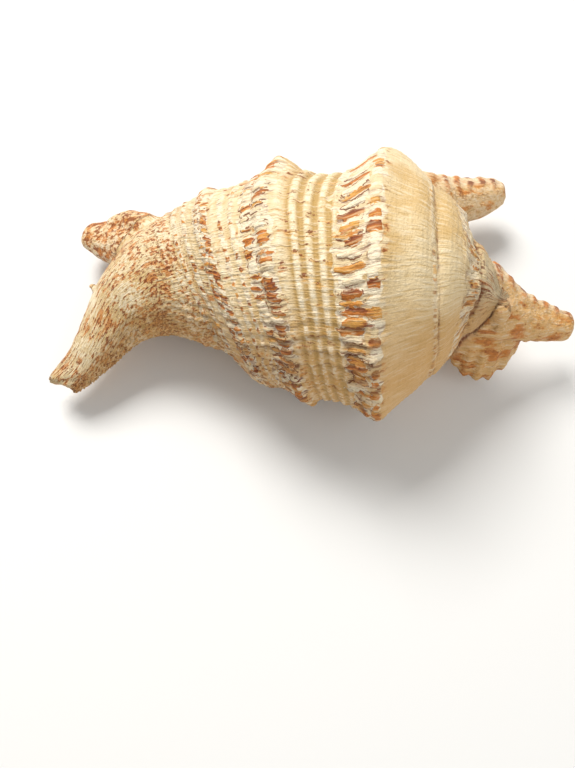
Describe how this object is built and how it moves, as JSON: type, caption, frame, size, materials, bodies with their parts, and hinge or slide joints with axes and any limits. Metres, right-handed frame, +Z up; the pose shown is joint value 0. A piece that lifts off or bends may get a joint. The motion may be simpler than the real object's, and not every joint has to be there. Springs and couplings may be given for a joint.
{
  "type": "spider conch shell",
  "caption": "Worn spider conch sea shell with knobbed spiral ridges, blunt fingers, a bent siphonal canal and a slit aperture, resting aperture down",
  "frame": {"origin": "on the table, under the middle of the shell's bounding box", "axes": "+X along the shell from the siphonal canal to the spire, +Y towards the outer lip, +Z up with the aperture facing down"},
  "size_m": [0.1853, 0.1058, 0.0729],
  "materials": {
    "shell": "worn, low sheen outside and smoother underneath"
  },
  "bodies": {
    "root": {"shell": "shell"}
  },
  "joints": []
}
